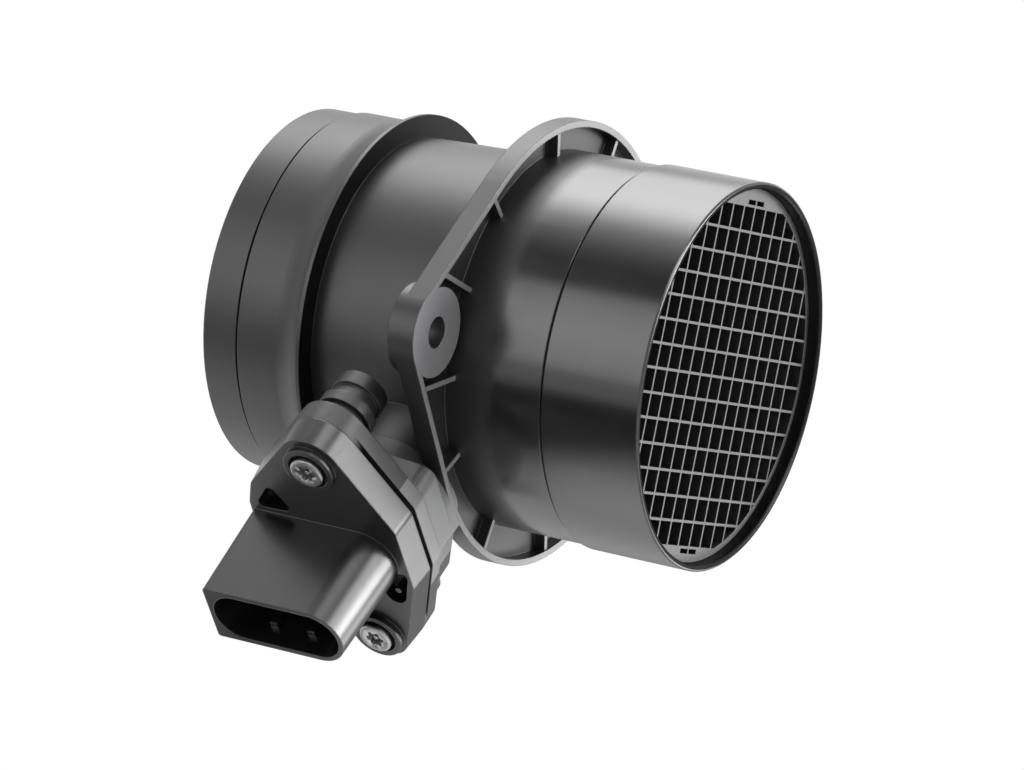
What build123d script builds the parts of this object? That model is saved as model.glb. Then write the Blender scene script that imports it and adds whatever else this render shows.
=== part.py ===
"""Mass airflow sensor: a flanged tube with an inlet grid, and a plug-in sensor held in its pod.

Frame: +X runs along the tube's axis towards the inlet, +Z is up and the flange ears lie on Y.
The origin is on the tube's axis, in the flange's mounting face. Lengths are millimetres.
The sensor has its own frame: x runs along +X, h is the height above the tube's axis and t runs
across the sensor. Its sketches on the sensor plane use x and y = -t.
"""
from build123d import *
import os
from math import cos, radians, sin, sqrt, tan

# ---------------------------------------------------------------- driving dimensions: tube
SPIGOT_LENGTH = 42.4        # inlet spigot, from the flange face to the rim
SPIGOT_R = 41.0             # outer band, up to the rim
SPIGOT_BAND_X = 20.1        # where the outer band starts
SPIGOT_ROOT_R = 40.4        # between the band and the flange
SCORE_WIDTH = 0.8           # of the fine grooves that mark the bands
SCORE_DEPTH = 0.6
MOUTH_WALL = 1.4            # wall of the rim around the grid
RIM_CHAMFER = 0.35
NECK_R = 37.3
NECK_ROOT_R = 38.2          # where the neck widens into the flange
DUCT_WALL = 2.5             # at the neck and at the outlet
CONE_START_X = 4.0          # the inlet bore narrows to the neck's between these two
CONE_END_X = -6.0
LIP_X = -37.1               # hose lip, its flat face
LIP_R = 42.15
LIP_LAND = 0.9              # cylindrical edge of the lip
LIP_FLARE = 6.2             # length of the hollow curve from the lip down to the collar
COLLAR_R = 39.85
COLLAR_BAND_X = -54.1       # groove between the collar's two bands
COLLAR_END_R = 39.3
OUTLET_X = -62.7
OUTLET_CONE = 8.0           # length over which the neck's bore opens to the outlet's

# ---------------------------------------------------------------- driving dimensions: flange
FLANGE_R = 47.6
FLANGE_DROP = 0.7           # middle of the round flange below the tube's axis
FLANGE_THICK = 4.5
FLANGE_FLOOR = 1.6
FLANGE_RIM = 1.4            # wall around the flange's pockets
RIB_THICK = 1.1
RIB_DROP = 0.5              # the ribs end below the mounting face
RIB_ANGLES = (13.0, 38.0, 73.0)     # from the ear line, repeated in each quarter
EAR_OFFSET = 51.5           # bolt holes from the tube's axis
EAR_TILT = 2.2              # turn of the ear line about the axis, from Y, in degrees
EAR_R = 9.4
EAR_BOSS_LENGTH = 6.2
BOLT_HOLE_R = 3.3

# ---------------------------------------------------------------- driving dimensions: inlet grid
GRID_RECESS = 2.8           # from the rim to the grid's face
GRID_DEPTH = 3.0
GRID_RING_WALL = 1.3
GRID_BAR = 0.55
GRID_PITCH = (5.17, 5.1)    # between the upright bars and between the level ones
GRID_MIDDLE = (0.8, -0.4)   # crossing of the middle bars, from the tube's axis
GRID_UPRIGHTS = range(-7, 7)        # bars counted from the middle one
GRID_LEVELS = range(-6, 7)
GRID_CAP_STEP = 7           # the ring is filled beyond this many level pitches
GRID_WINDOW = (3.4, 1.0)    # the two small windows in each filled cap
GRID_LEDGE = 1.0            # width of the shoulder that the grid rests on
FIT_GAP = 0.1               # radial gap of the parts pushed into the inlet
SCREEN_THICK = 0.4
SCREEN_LEDGE = 1.2
SCREEN_WIRE = 0.4
SCREEN_PITCH = 6.9
SCREEN_BORDER = 1.5
SCREEN_WIRES_EACH_SIDE = 5  # of the middle wire, both ways
SCREEN_RING_LENGTH = 6.0    # spacer ring between the wire screen and the grid
SCREEN_RING_WALL = 1.3

# ---------------------------------------------------------------- driving dimensions: sensor pod
SENSOR_ANGLE = 42.0         # tilt of the sensor about the tube's axis, from straight down
SENSOR_X = -13.4            # sketch origin of the sensor plane
SEAT_H = 60.9               # where the sensor's flange sits on the pod
SEAM_GAP = 1.2              # shadow gap between the two ends of the seat
SEAM_INSET = 1.4
PAD_THICK = 3.7             # plate of the pod below the shadow gap
POD_STEPS = (               # discs of each outline, and its length below the plate
    (((-0.9, -1.0, 14.0),), 10.3),
    (((-0.9, -1.0, 14.0), (10.2, -6.6, 3.0)), 8.5),
    (((-0.9, -1.0, 14.0), (10.2, 8.6, 3.0), (10.2, -6.6, 3.0), (5.8, -16.0, 4.0)), 6.0),
)
POD_ROOT_WALL = 1.9         # around the stem's bore, where the pod grows out of the neck
UPPER_SCREW = (-2.6, 24.7)
LOWER_SCREW = (0.6, -23.6)
SCREW_BOSSES = (            # place, radius, start and end below the plate
    (UPPER_SCREW, 4.9, 0.0, 11.0),
    (UPPER_SCREW, 6.2, 2.6, 5.2),
    (UPPER_SCREW, 5.6, 8.2, 11.4),
    (LOWER_SCREW, 5.3, 0.0, 6.0),
)
UPPER_END_R = 7.3           # flange outline around the screws
LOWER_END_R = 6.6
CORNER_DISCS = (            # x, y and radius of the rounded corners between the two ends
    (10.2, 8.6, 3.0),
    (10.2, -6.6, 3.0),
    (-16.6, 13.8, 3.5),
    (-18.8, 8.8, 3.0),
    (-19.2, -3.0, 3.0),
    (-13.0, -13.0, 3.0),
)

# ---------------------------------------------------------------- driving dimensions: sensor
SENSOR_FLANGE_THICK = 6.3
SENSOR_FLANGE_DRAFT = 5.0   # degrees
RING_R = 5.7                # raised ring around each screw head
RING_BORE_R = 4.4
RING_RISE = 1.4
HEAD_SEAT_DEPTH = 0.6       # the head's seat below the flange's front
CONNECTOR_X = -5.3
CONNECTOR_T = 0.2
SHROUD_LENGTH = 31.6        # outer size at the mouth
SHROUD_WIDTH = 14.1
SHROUD_HEIGHT = 22.8
SHROUD_DRAFT = 1.5          # degrees
SHROUD_CORNER_R = 1.2
SHROUD_WALL = 1.05
SOCKET_DEPTH = 20.5
KEY_SIZE = (1.8, 1.4)       # the guide ribs inside the socket
KEY_SETBACK = 4.5           # from the mouth
KEYS_UPPER = (7.4, -1.8)    # places along the socket, on its y+ wall
KEYS_LOWER = (4.5, -4.5)    # and on its y- wall
LATCH_SIZE = (5.2, 1.3, 4.0)        # catch for the plug's latch: along x, out of the wall, along h
LATCH_FROM_MOUTH = 3.0
POCKET_DEPTH = 3.5          # hollows in the flange's front
SIDE_POCKET = ((11.3, -4.2, 1.2), (8.1, -10.0, 2.5))
SIDE_POCKET_PIN = (8.6, -9.4, 0.7)
PIN_DROP = 0.6              # from the flange's front down to that pin's end
CORNER_POCKET = ((-18.0, 9.8, 1.3), (-13.4, 10.0, 1.3), (-15.4, 13.6, 1.3))
PIN_COUNT = 5
PIN_PITCH = 4.5
PIN_WIDTH = 2.6
PIN_THICK = 1.0
PIN_REACH = 10.5            # above the socket's floor
PIN_POINT = 0.9             # chamfered tip
LEAD_PITCH = 2.9            # the pins come closer together on their way into the stem
LEAD_WIDTH = 1.7
LEAD_JOG = 5.0              # height of the slanted stretch

# ---------------------------------------------------------------- driving dimensions: stem
STEM_X = -2.0               # axis of the stem, in the sensor's frame
STEM_BORE_R = 10.4
STEM_GAP = 0.25             # between the stem's neck and its bore
SEAL_SECTION_R = 1.0
SEAL_GROOVE_H = 52.0
SEAL_GROOVE_WIDTH = 2.4
SEAL_GAP = 0.05
STEM_WIDTH = 17.0           # along the duct
STEM_THICK = 10.0
STEM_TIP_H = -10.0
STEM_WALL = 1.4
STEM_CORNER_R = 1.2
COVER_THICK = 1.0
COVER_LEDGE = 0.6
COVER_GAP = 0.05
COVER_CHAMFER = 0.2
BULKHEAD_H = 12.2           # middle of the wall between chamber and channel
BULKHEAD_THICK = 2.4
CHANNEL_FLOOR = 1.2
INLET_HEIGHT = 5.6          # channel's mouth in the leading face
DIVIDER_H = (-1.9, 1.9)     # the tongue that turns the flow round
DIVIDER_X = 0.0             # centre of the divider's rounded end, from the stem's axis
OUTLET_WINDOW = (4.6, 5.4)
BASE_THICK = 0.8
BASE_GAP = 0.1
TONGUE_WIDTH = 6.0
TONGUE_END_H = 3.0
BOARD_THICK = 0.64
BOARD_INSET = 0.6
BOARD_TOP_H = 32.6
BOARD_TOP_GAP = 2.5         # between the board and the chamber's end
CARRIER_SIZE = (5.0, 7.0, 0.8)
CHIP_SIZE = (2.6, 5.4, 0.4)
EVALUATION_CHIP = (5.2, 5.2, 1.2)
EVALUATION_CHIP_H = 19.8
CAPACITOR_SIZE = (1.3, 2.2, 1.2)
CAPACITOR_H = 26.5
CAPACITOR_X = (-4.6, -2.4)
LEAD_R = 0.3                # thermistor's wires
LEAD_ON_BOARD = 2.6         # their inner ends, from the chamber's wall
THERMISTOR_H = 23.0
THERMISTOR_SPAN = 3.6       # between the two wires
THERMISTOR_REACH = 5.0      # bead in front of the stem's leading face
BEAD_R = 0.95

# ---------------------------------------------------------------- driving dimensions: screws
SCREW_R = 2.0
SCREW_LENGTH = 14.0         # below the head
SCREW_TIP_CHAMFER = 0.7
SCREW_HOLE_DEPTH = 1.0      # of the hole below the screw's tip
SCREW_HOLE_GAP = 0.05
SCREW_PASS_GAP = 0.3
HEAD_R = 3.7
HEAD_HEIGHT = 2.9
HEAD_EDGE = 0.4
STAR_R = 2.0
STAR_LOBE_R = 0.5
STAR_LOBES = 6
STAR_DEPTH = 1.7
STAR_PIN_R = 0.55

# ---------------------------------------------------------------- derived places
MOUTH_R = SPIGOT_R - MOUTH_WALL
GRID_FRONT_X = SPIGOT_LENGTH - GRID_RECESS
GRID_BACK_X = GRID_FRONT_X - GRID_DEPTH
RING_SEAT_R = MOUTH_R - GRID_LEDGE
SCREEN_FRONT_X = GRID_BACK_X - SCREEN_RING_LENGTH
SCREEN_BACK_X = SCREEN_FRONT_X - SCREEN_THICK
INLET_BORE_R = RING_SEAT_R - SCREEN_LEDGE
NECK_BORE_R = NECK_R - DUCT_WALL
OUTLET_BORE_R = COLLAR_END_R - DUCT_WALL
FLANGE_BACK_X = -FLANGE_THICK
EARS = [
    (side * EAR_OFFSET * cos(radians(EAR_TILT)), side * EAR_OFFSET * sin(radians(EAR_TILT)))
    for side in (-1, 1)
]
RIB_LENGTH = EAR_OFFSET - NECK_R
RIB_MIDDLE_R = (EAR_OFFSET + NECK_R) / 2 + FLANGE_RIM

tilt = radians(SENSOR_ANGLE)
outward = (0, -sin(tilt), -cos(tilt))
across = (0, cos(tilt), -sin(tilt))
# Sketches of outlines seen along the sensor's axis: x and y = -t, with h as the offset.
sensor_plane = Plane(origin=(SENSOR_X, 0, 0), x_dir=(1, 0, 0), z_dir=outward)
# Sketches of the stem seen from its open side: x and h, with t as the offset.
stem_plane = Plane(origin=(SENSOR_X, 0, 0), x_dir=(1, 0, 0), z_dir=across)

PAD_TOP_H = SEAT_H - SEAM_GAP
PAD_BOTTOM_H = PAD_TOP_H - PAD_THICK
PAD_MIDDLE_H = PAD_TOP_H - PAD_THICK / 2
FRONT_H = SEAT_H + SENSOR_FLANGE_THICK
RING_TOP_H = FRONT_H + RING_RISE
HEAD_SEAT_H = FRONT_H - HEAD_SEAT_DEPTH
MOUTH_H = FRONT_H + SHROUD_HEIGHT
SOCKET_FLOOR_H = MOUTH_H - SOCKET_DEPTH
SCREW_END_H = HEAD_SEAT_H - SCREW_LENGTH
SCREWS = {"upper": UPPER_SCREW, "lower": LOWER_SCREW}

STEM_NECK_R = STEM_BORE_R - STEM_GAP
SEAL_CENTRE_R = STEM_BORE_R - SEAL_SECTION_R - SEAL_GAP
SEAL_GROOVE_R = SEAL_CENTRE_R - SEAL_SECTION_R - SEAL_GAP
STEM_LEADING_X = STEM_X + STEM_WIDTH / 2
STEM_FACE_T = STEM_THICK / 2
COVER_SEAT_T = STEM_FACE_T - COVER_THICK
TRAY_WIDTH = STEM_WIDTH - 2 * STEM_WALL
COVER_WIDTH = TRAY_WIDTH + 2 * COVER_LEDGE
CHAMBER_TOP_H = BOARD_TOP_H + BOARD_TOP_GAP
STEM_NECK_END_H = CHAMBER_TOP_H + STEM_WALL
CHAMBER_BOTTOM_H = BULKHEAD_H + BULKHEAD_THICK / 2
CHANNEL_TOP_H = BULKHEAD_H - BULKHEAD_THICK / 2
CHANNEL_BOTTOM_H = STEM_TIP_H + STEM_WALL
PIN_BOTTOM_T = CONNECTOR_T - PIN_THICK / 2
BOARD_BACK_T = PIN_BOTTOM_T - BOARD_THICK
CHAMBER_FLOOR_T = BOARD_BACK_T - BASE_THICK
CHANNEL_FLOOR_T = -STEM_FACE_T + CHANNEL_FLOOR
DIVIDER_MIDDLE_H = sum(DIVIDER_H) / 2
DIVIDER_THICK = DIVIDER_H[1] - DIVIDER_H[0]
LEAD_T = PIN_BOTTOM_T + LEAD_R
SOCKET_WIDTH = SHROUD_WIDTH - 2 * SHROUD_WALL
DRAFT_GROWTH = SHROUD_HEIGHT * tan(radians(SHROUD_DRAFT))
FLANGE_GROWTH = SENSOR_FLANGE_THICK * tan(radians(SENSOR_FLANGE_DRAFT))
OUTLET_WINDOW_H = (DIVIDER_H[1] + CHANNEL_TOP_H) / 2

os.makedirs("parts", exist_ok=True)


def save(piece: Part, label: str) -> None:
    """Label a finished piece and write its STEP file."""
    piece.label = label
    export_step(piece, f"parts/{label}.step")


def flange_outline(inset: float) -> None:
    """Round flange with an ear on each side, inset by a wall."""
    with Locations((0, -FLANGE_DROP)):
        Circle(FLANGE_R - inset)
    with Locations(*EARS):
        Circle(EAR_R - inset)
    make_hull()


def disc_hull(discs: tuple[tuple[float, float, float], ...], inset: float) -> None:
    """Outline drawn tight round discs given by x, y and radius, inset by a wall."""
    for x, y, radius in discs:
        with Locations((x, y)):
            Circle(radius - inset)
    make_hull()


def sensor_outline(inset: float) -> None:
    """Long flange outline around the two screws, inset by a wall."""
    with Locations(UPPER_SCREW):
        Circle(UPPER_END_R - inset)
    with Locations(LOWER_SCREW):
        Circle(LOWER_END_R - inset)
    disc_hull(CORNER_DISCS, inset)


def shroud_outline(length: float, width: float) -> None:
    """Connector outline: square at its x- end and round at its x+ end."""
    round_x = length / 2 - width / 2
    with Locations((-width / 4, 0)):
        Rectangle(length - width / 2, width)
    with Locations((round_x, 0)):
        Circle(width / 2)


# ================================================================ tube housing
with BuildPart() as tube_housing:
    # Outer form of the tube, turned about its axis.
    with BuildSketch(Plane.XZ):
        with BuildLine():
            Polyline(
                (LIP_X - LIP_LAND, LIP_R),
                (LIP_X, LIP_R),
                (LIP_X, NECK_R),
                (FLANGE_BACK_X, NECK_ROOT_R),
                (FLANGE_BACK_X, SPIGOT_ROOT_R),
                (SPIGOT_BAND_X - SCORE_WIDTH, SPIGOT_ROOT_R),
                (SPIGOT_BAND_X - SCORE_WIDTH / 2, SPIGOT_ROOT_R - SCORE_DEPTH),
                (SPIGOT_BAND_X, SPIGOT_ROOT_R),
                (SPIGOT_BAND_X, SPIGOT_R),
                (SPIGOT_LENGTH - RIM_CHAMFER, SPIGOT_R),
                (SPIGOT_LENGTH, SPIGOT_R - RIM_CHAMFER),
                (SPIGOT_LENGTH, 0),
                (OUTLET_X, 0),
                (OUTLET_X, COLLAR_END_R - RIM_CHAMFER),
                (OUTLET_X + RIM_CHAMFER, COLLAR_END_R),
                (COLLAR_BAND_X - SCORE_WIDTH / 2, COLLAR_END_R),
                (COLLAR_BAND_X, COLLAR_END_R - SCORE_DEPTH),
                (COLLAR_BAND_X + SCORE_WIDTH / 2, COLLAR_R),
                (LIP_X - LIP_LAND - LIP_FLARE, COLLAR_R),
            )
            TangentArc(
                (LIP_X - LIP_LAND - LIP_FLARE, COLLAR_R),
                (LIP_X - LIP_LAND, LIP_R),
                tangent=(1, 0),
            )
        make_face()
    revolve(axis=Axis.X)

    # Flange with its two ears: a floor, a rim around it, radial ribs and the solid ear bosses.
    with BuildSketch(Plane.YZ.offset(FLANGE_BACK_X)):
        flange_outline(0)
    extrude(amount=FLANGE_FLOOR)
    with BuildSketch(Plane.YZ.offset(FLANGE_BACK_X)):
        flange_outline(0)
        with BuildSketch(mode=Mode.SUBTRACT):
            flange_outline(FLANGE_RIM)
    extrude(amount=FLANGE_THICK)
    with BuildSketch(Plane.YZ.offset(FLANGE_BACK_X)):
        for angle in RIB_ANGLES:
            for turn in (angle, 180 - angle, 180 + angle, 360 - angle):
                with PolarLocations(RIB_MIDDLE_R, 1, start_angle=turn + EAR_TILT):
                    Rectangle(RIB_LENGTH, RIB_THICK)
        with BuildSketch(mode=Mode.INTERSECT):
            flange_outline(FLANGE_RIM / 2)
    extrude(amount=FLANGE_THICK - RIB_DROP)
    with BuildSketch(Plane.YZ.offset(-EAR_BOSS_LENGTH)):
        with Locations(*EARS):
            Circle(EAR_R)
    extrude(amount=EAR_BOSS_LENGTH)

    # Pod: stepped body on a narrower root, plate, raised seat and the screws' blind bosses.
    with BuildSketch(sensor_plane):
        with Locations((STEM_X, 0)):
            Circle(STEM_BORE_R + POD_ROOT_WALL)
    extrude(amount=PAD_MIDDLE_H)
    for discs, length in POD_STEPS:
        with BuildSketch(sensor_plane.offset(PAD_MIDDLE_H)):
            disc_hull(discs, -FLANGE_GROWTH / 2)
        extrude(amount=-PAD_THICK / 2 - length)
    with BuildSketch(sensor_plane.offset(PAD_BOTTOM_H)):
        sensor_outline(-FLANGE_GROWTH)
    extrude(amount=PAD_THICK)
    with BuildSketch(sensor_plane.offset(PAD_MIDDLE_H)):
        sensor_outline(SEAM_INSET)
        with Locations(UPPER_SCREW):
            Circle(UPPER_END_R + FLANGE_GROWTH)
        with Locations(LOWER_SCREW):
            Circle(LOWER_END_R + FLANGE_GROWTH)
    extrude(amount=SEAT_H - PAD_MIDDLE_H)
    for place, radius, start, end in SCREW_BOSSES:
        top_h = PAD_MIDDLE_H if start == 0 else PAD_BOTTOM_H - start
        with BuildSketch(sensor_plane.offset(top_h)):
            with Locations(place):
                Circle(radius)
        extrude(amount=PAD_BOTTOM_H - end - top_h)

    # Duct, with the shoulders that the screen and the grid rest on.
    with BuildSketch(Plane.XZ):
        with BuildLine():
            Polyline(
                (SPIGOT_LENGTH, 0),
                (SPIGOT_LENGTH, MOUTH_R + RIM_CHAMFER),
                (SPIGOT_LENGTH - RIM_CHAMFER, MOUTH_R),
                (GRID_BACK_X, MOUTH_R),
                (GRID_BACK_X, RING_SEAT_R),
                (SCREEN_BACK_X, RING_SEAT_R),
                (SCREEN_BACK_X, INLET_BORE_R),
                (CONE_START_X, INLET_BORE_R),
                (CONE_END_X, NECK_BORE_R),
                (LIP_X, NECK_BORE_R),
                (LIP_X - OUTLET_CONE, OUTLET_BORE_R),
                (OUTLET_X, OUTLET_BORE_R),
                (OUTLET_X, 0),
                close=True,
            )
        make_face()
    revolve(axis=Axis.X, mode=Mode.SUBTRACT)

    # Bore for the stem, screw holes and bolt holes.
    with BuildSketch(sensor_plane.offset(SEAT_H)):
        with Locations((STEM_X, 0)):
            Circle(STEM_BORE_R)
    extrude(amount=-SEAT_H, mode=Mode.SUBTRACT)
    with BuildSketch(sensor_plane.offset(SEAT_H)):
        with Locations(*SCREWS.values()):
            Circle(SCREW_R + SCREW_HOLE_GAP)
    extrude(amount=SCREW_END_H - SCREW_HOLE_DEPTH - SEAT_H, mode=Mode.SUBTRACT)
    with BuildSketch(Plane.YZ.offset(-EAR_BOSS_LENGTH)):
        with Locations(*EARS):
            Circle(BOLT_HOLE_R)
    extrude(amount=EAR_BOSS_LENGTH, mode=Mode.SUBTRACT)
save(tube_housing.part, "tube_housing")

# ================================================================ inlet grid
with BuildPart() as inlet_grid:
    ring_r = MOUTH_R - FIT_GAP
    with BuildSketch(Plane.YZ.offset(GRID_BACK_X)):
        Circle(ring_r)
        Circle(ring_r - GRID_RING_WALL, mode=Mode.SUBTRACT)
    extrude(amount=GRID_DEPTH)
    bar_end_r = ring_r - GRID_RING_WALL / 2
    with BuildSketch(Plane.YZ.offset(GRID_BACK_X)):
        for step in GRID_UPRIGHTS:
            y = GRID_MIDDLE[0] + step * GRID_PITCH[0]
            with Locations((y, 0)):
                Rectangle(GRID_BAR, 2 * sqrt(bar_end_r**2 - y**2))
        for step in GRID_LEVELS:
            z = GRID_MIDDLE[1] + step * GRID_PITCH[1]
            with Locations((0, z)):
                Rectangle(2 * sqrt(bar_end_r**2 - z**2), GRID_BAR)
    extrude(amount=GRID_DEPTH)
    cap_z = GRID_CAP_STEP * GRID_PITCH[1]
    with BuildSketch(Plane.YZ.offset(GRID_BACK_X)):
        Circle(ring_r)
        with Locations((0, GRID_MIDDLE[1])):
            Rectangle(2 * ring_r, 2 * cap_z, mode=Mode.SUBTRACT)
    extrude(amount=GRID_DEPTH)
    window_y = GRID_BAR / 2 + GRID_WINDOW[0] / 2
    window_z = cap_z + GRID_BAR + GRID_WINDOW[1] / 2
    with BuildSketch(Plane.YZ.offset(GRID_BACK_X)):
        for side in (-1, 1):
            with Locations((GRID_MIDDLE[0], GRID_MIDDLE[1] + side * window_z)):
                with GridLocations(2 * window_y, 0, 2, 1):
                    Rectangle(*GRID_WINDOW)
    extrude(amount=GRID_DEPTH, mode=Mode.SUBTRACT)
save(inlet_grid.part, "inlet_grid")

# ================================================================ screen and its spacer ring
with BuildPart() as screen_retaining_ring:
    with BuildSketch(Plane.YZ.offset(SCREEN_FRONT_X)):
        Circle(RING_SEAT_R - FIT_GAP)
        Circle(RING_SEAT_R - FIT_GAP - SCREEN_RING_WALL, mode=Mode.SUBTRACT)
    extrude(amount=SCREEN_RING_LENGTH)
save(screen_retaining_ring.part, "screen_retaining_ring")

with BuildPart() as wire_screen:
    screen_r = RING_SEAT_R - FIT_GAP
    with BuildSketch(Plane.YZ.offset(SCREEN_BACK_X)):
        Circle(screen_r)
        Circle(screen_r - SCREEN_BORDER, mode=Mode.SUBTRACT)
        for step in range(-SCREEN_WIRES_EACH_SIDE, SCREEN_WIRES_EACH_SIDE + 1):
            chord = 2 * sqrt((screen_r - SCREEN_BORDER / 2) ** 2 - (step * SCREEN_PITCH) ** 2)
            for turn in (0, 90):
                with Locations(Rotation(0, 0, turn) * Pos(0, step * SCREEN_PITCH)):
                    Rectangle(chord, SCREEN_WIRE)
    extrude(amount=SCREEN_THICK)
save(wire_screen.part, "wire_screen")

# ================================================================ connector pins
pin_parts = []
for index in range(PIN_COUNT):
    order = index - (PIN_COUNT - 1) / 2
    blade_x = CONNECTOR_X + order * PIN_PITCH
    lead_x = STEM_X + order * LEAD_PITCH
    jog_top_h = SOCKET_FLOOR_H - LEAD_WIDTH
    tip_h = SOCKET_FLOOR_H + PIN_REACH
    with BuildPart() as pin:
        with BuildSketch(stem_plane.offset(PIN_BOTTOM_T)):
            with BuildLine():
                Polyline(
                    (lead_x - LEAD_WIDTH / 2, BOARD_TOP_H - LEAD_WIDTH),
                    (lead_x + LEAD_WIDTH / 2, BOARD_TOP_H - LEAD_WIDTH),
                    (lead_x + LEAD_WIDTH / 2, jog_top_h - LEAD_JOG),
                    (blade_x + PIN_WIDTH / 2, jog_top_h),
                    (blade_x + PIN_WIDTH / 2, tip_h - PIN_POINT),
                    (blade_x + PIN_WIDTH / 2 - PIN_POINT, tip_h),
                    (blade_x - PIN_WIDTH / 2 + PIN_POINT, tip_h),
                    (blade_x - PIN_WIDTH / 2, tip_h - PIN_POINT),
                    (blade_x - PIN_WIDTH / 2, jog_top_h),
                    (lead_x - LEAD_WIDTH / 2, jog_top_h - LEAD_JOG),
                    close=True,
                )
            make_face()
        extrude(amount=PIN_THICK)
    pin_parts.append(pin.part)
    save(pin.part, f"pin_{index + 1}")

# ================================================================ thermistor wires
lead_parts = []
for index, side in enumerate((1, -1)):
    bead_x = STEM_LEADING_X + THERMISTOR_REACH
    start = (STEM_X + TRAY_WIDTH / 2 - LEAD_ON_BOARD, THERMISTOR_H + side * THERMISTOR_SPAN / 2)
    bend = (bead_x - THERMISTOR_SPAN / 2, start[1])
    end = (bead_x, THERMISTOR_H + side * LEAD_R)
    with BuildPart() as thermistor_lead:
        with BuildLine(stem_plane.offset(LEAD_T)) as route:
            FilletPolyline(start, bend, end, radius=4 * LEAD_R)
        with BuildSketch(Plane(origin=route.line @ 0, z_dir=route.line % 0)):
            Circle(LEAD_R)
        sweep(path=route.line)
    lead_parts.append(thermistor_lead.part)
    save(thermistor_lead.part, f"thermistor_lead_{index + 1}")

with BuildPart() as air_thermistor:
    with BuildSketch(stem_plane.offset(LEAD_T)):
        with Locations((STEM_LEADING_X + THERMISTOR_REACH, THERMISTOR_H)):
            Circle(BEAD_R)
        with BuildSketch(mode=Mode.INTERSECT):
            with Locations((STEM_LEADING_X + THERMISTOR_REACH, THERMISTOR_H + BEAD_R)):
                Rectangle(2 * BEAD_R, 2 * BEAD_R)
    revolve(axis=Axis(
        stem_plane.from_local_coords((STEM_LEADING_X, THERMISTOR_H, LEAD_T)),
        stem_plane.x_dir,
    ))
    for lead in lead_parts:
        add(lead, mode=Mode.SUBTRACT)
save(air_thermistor.part, "air_thermistor")

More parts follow.
